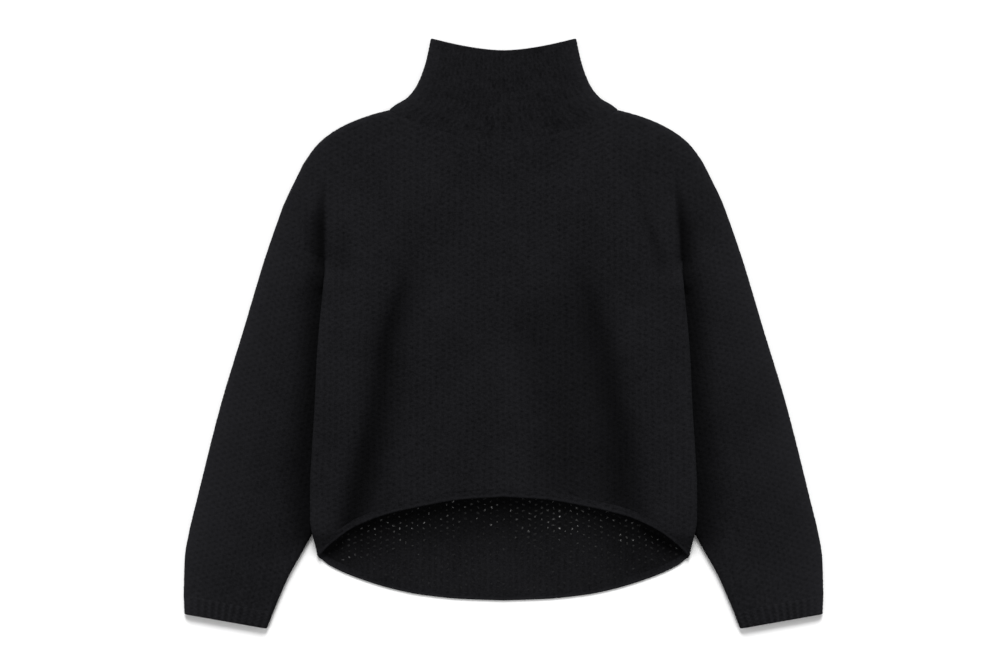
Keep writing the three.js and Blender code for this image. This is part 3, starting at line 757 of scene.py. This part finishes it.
def sleeve(side, name):
    """A tapering tube, crowned a little on top, away from the body that lies on its inner edge."""
    table, at = sleeve_table()
    places, middle, share, out, width = side_tube(table, side, 64)
    x, y = middle[..., 0], middle[..., 1]
    on_top = (places[:, 2] > 0) * (places[:, 0] == 1)
    ends = ease(at / 2.5)[:, None] * ease((at[-1] - at) / 4)[:, None]
    face = on_top * ease(share / 0.05) * ease((1 - share) / 0.05) * ends
    crown = 1.3 * np.sin(np.pi * np.clip((0.72 - share) / 0.72, 0, 1)) * on_top
    middle[..., 2] += crown * ease(at / 60)[:, None] * ease((at[-1] - at) / 60)[:, None]
    middle[..., 2] -= underarm_groove(np.abs(x), y) * on_top * ease(1 - at / 32)[:, None]
    middle[..., 2] += underarm_rise(y) * np.exp(-(((1 - share) * width / 12) ** 2))
    u, v = sleeve_stitches(x, y)
    relief = (0.25 - PIT_DEPTH * pits(u, v)) * face + nap(x, y) * ends
    outer = middle + out * (WALL / 2 + relief)[..., None]
    inner = middle - out * WALL / 2
    # Painted highlight near the outer fold, painted shade beside the body.
    painted_highlight = outer_highlight(share * width, y) * (places[:, 2] > 0)
    marks = {"painted_shade": sleeve_shade(x, y), "painted_highlight": painted_highlight}
    return wall(name, outer, inner, np.stack([u, v], -1), marks, ring=True, stride=6)


left_sleeve = sleeve(-1, "knit_left_sleeve")
right_sleeve = sleeve(1, "knit_right_sleeve")


# %% Cuffs
CUFF_LENGTH, CUFF_WIDTH, CUFF_STITCH = 25, 110, 5.5
CUFF_Y = -340  # where the cuffs lie


def cuff(side, name):
    """A short tube that carries the sleeve on, ribbed on the face that shows."""
    rows = np.array([SLEEVE[-1], CUFF_END], float)
    rows[0, 1::2] -= SEAM_GAP
    at = np.r_[0, 0.02, 0.06, np.linspace(0.12, 0.9, 12), 0.94, 0.97, 0.99, 1]
    table = rows[0] + (rows[1] - rows[0]) * at[:, None]
    places, middle, share, out, _ = side_tube(table, side, CUFF_RIBS * 8)
    on_top = (places[:, 2] > 0) * (places[:, 0] == 1)
    ribs = np.where(on_top, rib(places[:, 1] * CUFF_RIBS), 0) + nap(middle[..., 0], middle[..., 1])
    thick = WALL / 2 * rim_round((1 - at) * CUFF_LENGTH)[:, None]
    ribs = ribs * (ease(at / 0.06) * ease((1 - at) / 0.05))[:, None]
    outer = middle + out * (thick + ribs)[..., None]
    inner = middle - out * thick[..., None]
    along = np.broadcast_to(at[:, None] * CUFF_LENGTH / CUFF_STITCH, share.shape)
    uv = np.stack([share * CUFF_RIBS, along], -1)
    # Painted highlight over the top of the cuff, strongest near its outer fold.
    painted_highlight = (outer_highlight(share * CUFF_WIDTH, CUFF_Y) + 0.12) * (places[:, 2] > 0)
    marks = {"painted_highlight": painted_highlight, "ribbing": np.ones(share.shape)}
    return wall(name, outer, inner, uv, marks, ring=True, stride=4)


left_cuff = cuff(-1, "knit_left_cuff")
right_cuff = cuff(1, "knit_right_cuff")

# %% Collar
COLLAR_EDGE, COLLAR_FRONT, COLLAR_STITCH = 95, 108, 12.0  # lengths at the side and in front, mm
collar_side = through(COLLAR_SIDE)


def collar():
    """A flared tube from the neck seam to a dished top edge, with ribs that fan out downwards."""
    shares = np.r_[1, 0.996, 0.99, 0.982, 0.97, np.linspace(0.955, 0.03, 74), 0.015, 0.006, 0]
    side_y = NECK_SIDE + SEAM_GAP / 2 + (COLLAR_TOP - NECK_SIDE - SEAM_GAP / 2) * shares
    side_x = np.where(shares == 0, NECK_HALF, collar_side(side_y) - WALL / 2)
    side_x = np.minimum(side_x, NECK_HALF)
    places = tube_places(COLLAR_RIBS * 8, 40)
    start, end = np.stack([-side_x, side_y], -1), np.stack([side_x, side_y], -1)
    middle, share = tube_sections(places, start, end)
    side_out = np.minimum(np.abs(middle[..., 0]) / side_x[:, None], 1)
    up = np.broadcast_to(shares[:, None], side_out.shape)
    lower = np.where(places[:, 2] > 0, NECK_DIP["front"], NECK_DIP["back"])
    top_curve = ((side_out**2 + 0.02) ** 0.8 - 0.02**0.8) / (1.02**0.8 - 0.02**0.8)
    middle[..., 1] -= up * COLLAR_TOP_DIP * (1 - top_curve) + (1 - up) * lower * (1 - side_out**2)
    middle[..., 1] += (1 - up) * 0.5 * side_out**30
    out = wall_normals(middle, True)
    for layer, sign in (("front", 1), ("back", -1)):
        x = np.clip(middle[-1, :, 0], -NECK_HALF + 0.01, NECK_HALF - 0.01)
        stood = upright(out[-1], neck_tangent(layer, x, 0.005))
        out[-1] = np.where((places[:, 2] == sign)[:, None], stood, out[-1])
    on_top = (places[:, 2] > 0) * (places[:, 0] == 1)
    turns = places[:, 1] * COLLAR_RIBS
    along = (1 - shares)[:, None] * COLLAR_FRONT / COLLAR_STITCH
    knots = 0.1 * np.cos(2 * np.pi * turns) * np.cos(2 * np.pi * along)
    edges = ease((1 - up) / 0.03) * ease(up / 0.03)
    ribs = np.where(on_top, rib(turns) * 0.15 + knots, 0)
    ribs = (ribs + nap(middle[..., 0], middle[..., 1])) * edges
    thick = WALL / 2 * rim_round((1 - up) * COLLAR_EDGE, least=0.3)
    outer = middle + out * (thick + ribs)[..., None]
    inner = middle - out * thick[..., None]
    round_tube = np.where(places[:, 0] == 1, turns, places[:, 0] / 2 * COLLAR_RIBS)
    uv = np.stack([np.broadcast_to(round_tube, up.shape), np.broadcast_to(along, up.shape)], -1)
    to_side = side_x[:, None] - np.abs(middle[..., 0])
    # Painted highlight near the collar's sides.
    painted_highlight = (0.36 * np.exp(-to_side / 9) + 0.14 * np.exp(-to_side / 30)) * (places[:, 2] > 0)
    marks = {"painted_highlight": painted_highlight, "ribbing": np.full(up.shape, 0.2)}
    return wall("knit_collar", outer, inner, uv, marks, ring=True, stride=5)


collar_piece = collar()


# %% [markdown]
# ## Shader arithmetic
# A material is a graph of nodes. Written as plain expressions it is far easier to read, so one
# small class wraps a socket: each operator adds the Math node it stands for.

# %% Socket class
class Sock:
    """A node's output that can be added, multiplied and compared like a number."""

    def __init__(self, tree, socket):
        self.tree, self.socket = tree, socket

    def node(self, kind, settings=None, output=0, **inputs):
        """Adds a node of a kind, sets its settings first and then its inputs, and gives an output.

        An input is named by its socket, or by _ and its number where names repeat.
        """
        made = self.tree.nodes.new(kind)
        for key, value in (settings or {}).items():
            setattr(made, key, value)
        for key, value in inputs.items():
            numbered = key[0] == "_" and key[1:].isdigit()
            socket = made.inputs[int(key[1:]) if numbered else key.replace("_", " ")]
            if isinstance(value, Sock):
                self.tree.links.new(value.socket, socket)
            else:
                socket.default_value = value
        return Sock(self.tree, made.outputs[output])

    def math(self, operation, *values, clamp=False):
        """A Math node on this value and up to two more."""
        named = {f"_{k}": value for k, value in enumerate((self, *values))}
        return self.node("ShaderNodeMath", {"operation": operation, "use_clamp": clamp}, **named)

    def __add__(self, other):
        return self.math("ADD", other)

    def __sub__(self, other):
        return self.math("SUBTRACT", other)

    def __rsub__(self, other):
        return (self * -1).math("ADD", other)

    def __mul__(self, other):
        return self.math("MULTIPLY", other)

    def __truediv__(self, other):
        return self.math("DIVIDE", other)

    def __pow__(self, other):
        return self.math("POWER", other)

    __radd__, __rmul__ = __add__, __mul__

    def cos(self):
        """The cosine of an angle in radians."""
        return self.math("COSINE")

    def clip(self):
        """This value held between 0 and 1."""
        return self.math("ADD", 0.0, clamp=True)

    def mark(self, name):
        """A share that the mesh carries at each point under a name."""
        return self.node("ShaderNodeAttribute", {"attribute_name": name}, output=2)

    def step(self, low, high):
        """0 below low, 1 above high, eased between them."""
        smooth = {"interpolation_type": "SMOOTHSTEP"}
        return self.node("ShaderNodeMapRange", smooth, _0=self, _1=low, _2=high)

    def mix(self, other, share):
        """This colour, turned into the other by a share."""
        return self.node("ShaderNodeMix", {"data_type": "RGBA"}, 2, _0=share, _6=self, _7=other)


def new_material(name):
    """A material with a Principled surface, its node tree and its shader node."""
    material = bpy.data.materials.new(name)
    material.use_nodes = True
    tree = material.node_tree
    return material, tree, tree.nodes["Principled BSDF"]


def set_inputs(node, values):
    """Sets a node's inputs by their names."""
    for key, value in values.items():
        node.inputs[key].default_value = value


# %% [markdown]
# ## The yarn
# Black brushed wool: very dark, matt, a little hairy, so its edges catch a pale sheen. Each pit is
# painted darker than the ridges round it, as shade, since little light gets in. Four sizes of noise
# stand for the hair, the twist of the yarn and the drift from place to place. The marks then pull
# the tone almost to black where shade is painted, and to twice the yarn's own tone where a
# highlight is painted.

# %% Knit material
def yarn_noise(start, place, scale, detail=3.0, rough=0.6):
    """Noise from 0 to 1 at a scale in repeats per metre."""
    return start.node("ShaderNodeTexNoise", {"noise_dimensions": "3D"}, Vector=place, Scale=scale,
                      Detail=detail, Roughness=rough)


def knit(name, color, pattern, pinholes=False, strength=0.5, depth=1.0, columns=0.03):
    """A black knit: pattern(u, v) gives 0 to 1 in the hollows from the stitch coordinates.

    Strength is the bump's, depth darkens the hollows, and columns shades the stitch columns.
    """
    material, tree, shader = new_material(name)
    uv_node = tree.nodes.new("ShaderNodeUVMap")
    uv_node.uv_map = "stitches"
    start = Sock(tree, uv_node.outputs["UV"])
    u = start.node("ShaderNodeSeparateXYZ", output=0, Vector=start)
    v = start.node("ShaderNodeSeparateXYZ", output=1, Vector=start)
    coords = tree.nodes.new("ShaderNodeTexCoord")
    place = Sock(tree, coords.outputs["Object"])
    hollow = pattern(u, v).clip()
    hair = yarn_noise(start, place, 560.0)
    twist = yarn_noise(start, place, 260.0, 2.0)
    broad = yarn_noise(start, place, 11.0, 2.0, 0.5)
    patch = yarn_noise(start, place, 70.0, 2.0, 0.5)
    dark = tuple(c * 0.45 for c in color) + (1,)
    light = tuple(c * 1.35 for c in color) + (1,)
    painted_shade, painted_highlight = start.mark("painted_shade"), start.mark("painted_highlight")
    cell = start.node("ShaderNodeCombineXYZ", X=u.math("ROUND"), Y=(v * 2).math("ROUND"), Z=0.0)
    luck = start.node("ShaderNodeTexWhiteNoise", {"noise_dimensions": "3D"}, Vector=cell)
    stripes = (u * (2 * np.pi)).cos() * columns
    if pattern is rib_pattern:
        stripes = stripes * start.mark("ribbing")
    pile = (hair - 0.5) * 1.7 + (twist - 0.5) * 0.9 + (patch - 0.5) * 0.35 + (broad - 0.5) * 0.6
    tone = 0.6 + pile - hollow * (luck * 0.22 + 0.02) * depth - stripes
    base = start.node("ShaderNodeMix", {"data_type": "RGBA"}, 2, _0=tone.clip(), _6=dark, _7=light)
    # Painted highlight tone and painted shade tone, mixed in by the marks.
    bright = tuple(c * 2 for c in color) + (1,)
    black = tuple(sum(color) / 3 * 0.06 for c in color) + (1,)
    base = base.mix(bright, painted_highlight.clip()).mix(black, painted_shade.clip())
    # Painted light of the floor in the loosest pits of the back.
    if pinholes:
        base = pinhole_light(start, u, v, luck, hair, twist, base)
    height = (1 - hollow) * (depth * 0.6) + hair * 0.55 + twist * 0.55
    bump = start.node("ShaderNodeBump", {}, Strength=strength, Distance=0.0011, Height=height)
    tree.links.new(base.socket, shader.inputs["Base Color"])
    tree.links.new(bump.socket, shader.inputs["Normal"])
    set_inputs(shader, {"Roughness": 0.92, "Specular IOR Level": 0.02, "Sheen Weight": 0.012,
                        "Sheen Roughness": 0.45, "Sheen Tint": (0.62, 0.64, 0.7, 1)})
    return material


def honeycomb(u, v):
    """The same crossed waves as in pits(), now as nodes: 3 in the middle of each pit."""
    return 2 * (u * np.pi).cos() * (v * (2 * np.pi)).cos() + (u * (2 * np.pi)).cos()


def pit_pattern(u, v):
    """Hollows in the pits of the honeycomb."""
    return ((honeycomb(u, v) + 1.5) / 4.5) ** 1.6


def rib_pattern(u, v):
    """Hollows between ribs, as strong as the piece is ribbed, broken by slanting stitches."""
    ribbing = u.mark("ribbing")
    slant = ((u + v) * (2 * np.pi)).cos() + ((u - v) * (2 * np.pi)).cos()
    return 0.5 + (u * (2 * np.pi)).cos() * ribbing * 0.4 + slant * 0.12


def pinhole_light(start, u, v, luck, hair, twist, base):
    """Painted light of the pale floor through the loosest pits of the single back layer."""
    waves = honeycomb(u + (twist - 0.5) * 0.9, v + (hair - 0.5) * 0.9)
    glow = start.mark("glow")
    shown = (luck + glow * 1.05 - 0.95).step(0.0, 0.3)
    hole = waves.step(2.83, 3.0) * shown * (luck ** 2 * 0.6)
    faint = waves.step(1.6, 2.9) * ((glow * (luck * 0.09 + 0.01)) + luck * 0.016)
    pale = (0.42, 0.42, 0.42, 1)
    return base.mix(pale, (hole + faint).clip())


YARN = {"body": (0.008, 0.008, 0.0091), "inside": (0.0071, 0.0071, 0.008),
        "rib": (0.0079, 0.0079, 0.009), "welt": (0.0072, 0.0072, 0.0082)}
knit_front = knit("knit_front", YARN["body"], pit_pattern)
knit_back = knit("knit_back", YARN["inside"], pit_pattern, pinholes=True, depth=0.2, columns=0.12)
knit_sleeve = knit("knit_sleeve", YARN["body"], pit_pattern)
knit_rib = knit("knit_rib", YARN["rib"], rib_pattern, strength=0.6, depth=2.2, columns=0.22)
knit_welt = knit("knit_welt", YARN["welt"], pit_pattern)

# %% Each piece gets its material and its place in the frame
pieces = [
    # piece, material, slot, flat width, length and area in metres, what it lies on
    (front_panel, knit_front, "knit_front", 0.59, 0.56, 0.240,
     ["back_panel", "left_sleeve", "right_sleeve"]),
    (back_panel, knit_back, "knit_back", 0.59, 0.615, 0.291,
     ["floor", "left_sleeve", "right_sleeve"]),
    (left_sleeve, knit_sleeve, "knit_sleeve", 0.33, 0.49, 0.122, ["floor"]),
    (right_sleeve, knit_sleeve, "knit_sleeve", 0.33, 0.49, 0.122, ["floor"]),
    (collar_piece, knit_rib, "knit_rib", 0.58, 0.115, 0.045, ["floor"]),
    (left_cuff, knit_rib, "knit_rib", 0.225, 0.0255, 0.0056, ["floor"]),
    (right_cuff, knit_rib, "knit_rib", 0.225, 0.0255, 0.0056, ["floor"]),
    (front_hem, knit_welt, "knit_welt", 0.50, 0.0135, 0.0060, ["back_hem"]),
    (back_hem, knit_welt, "knit_welt", 0.50, 0.0115, 0.0050, ["floor"]),
]
for piece, material, slot, width, length, area, rests_on in pieces:
    piece.data.materials.append(material)
    finish_piece(piece)

# %% [markdown]
# ## Floor, light and camera
# A white paper floor, an even white sky, one large soft light beyond the collar and one at each
# side: the usual set for clothes photographed flat. The camera looks straight down.

# %% Floor
FLOOR_HALF = 4.0
corners = np.array([(-1, -1, 0), (1, -1, 0), (1, 1, 0), (-1, 1, 0)]) * FLOOR_HALF
floor_mesh = bpy.data.meshes.new("floor")
floor_mesh.from_pydata(corners.tolist(), [], [(0, 1, 2, 3)])
floor = bpy.data.objects.new("floor", floor_mesh)
bpy.context.scene.collection.objects.link(floor)
paper, _, paper_shader = new_material("paper")
set_inputs(paper_shader, {"Base Color": (0.93, 0.93, 0.93, 1), "Roughness": 0.9,
                          "Specular IOR Level": 0.0})
floor_mesh.materials.append(paper)


# %% Lights
def sun_light(name, way, spread, power):
    """A distant soft light that comes from the way given, spread over an angle in degrees."""
    data = bpy.data.lights.new(name, "SUN")
    data.angle, data.energy = np.radians(spread), power
    lamp = bpy.data.objects.new(name, data)
    pitch, heading = np.arctan2(np.hypot(way[0], way[1]), way[2]), np.arctan2(way[0], -way[1])
    lamp.rotation_euler = (pitch, 0, heading)
    bpy.context.scene.collection.objects.link(lamp)


sun_light("key_beyond_collar", (0, 1.2, 1.0), 25, 3.3)
sun_light("side_left", (-2.0, 0.1, 1.0), 30, 0.75)
sun_light("side_right", (2.0, 0.1, 1.0), 30, 0.75)
world = bpy.data.worlds.new("studio")
world.use_nodes = True
set_inputs(world.node_tree.nodes["Background"], {"Color": (1, 1, 1, 1), "Strength": 0.36})
scene = bpy.context.scene
scene.world = world
scene.view_settings.view_transform = "Standard"

# %% Camera
CAMERA_X, CAMERA_Y, CAMERA_HEIGHT = 0.0006, -0.0032, 3.0
CLOTH_HEIGHT = 0.01
PIXELS_ACROSS, MM_A_PIXEL = 1008, 1.27
FRAME_WIDTH = PIXELS_ACROSS * MM_A_PIXEL * MM
SENSOR = 36
camera_data = bpy.data.cameras.new("camera")
camera_data.sensor_width = SENSOR
camera_data.lens = SENSOR * (CAMERA_HEIGHT - CLOTH_HEIGHT) / FRAME_WIDTH
camera = bpy.data.objects.new("camera", camera_data)
camera.location = (CAMERA_X, CAMERA_Y, CAMERA_HEIGHT)
scene.collection.objects.link(camera)
scene.camera = camera
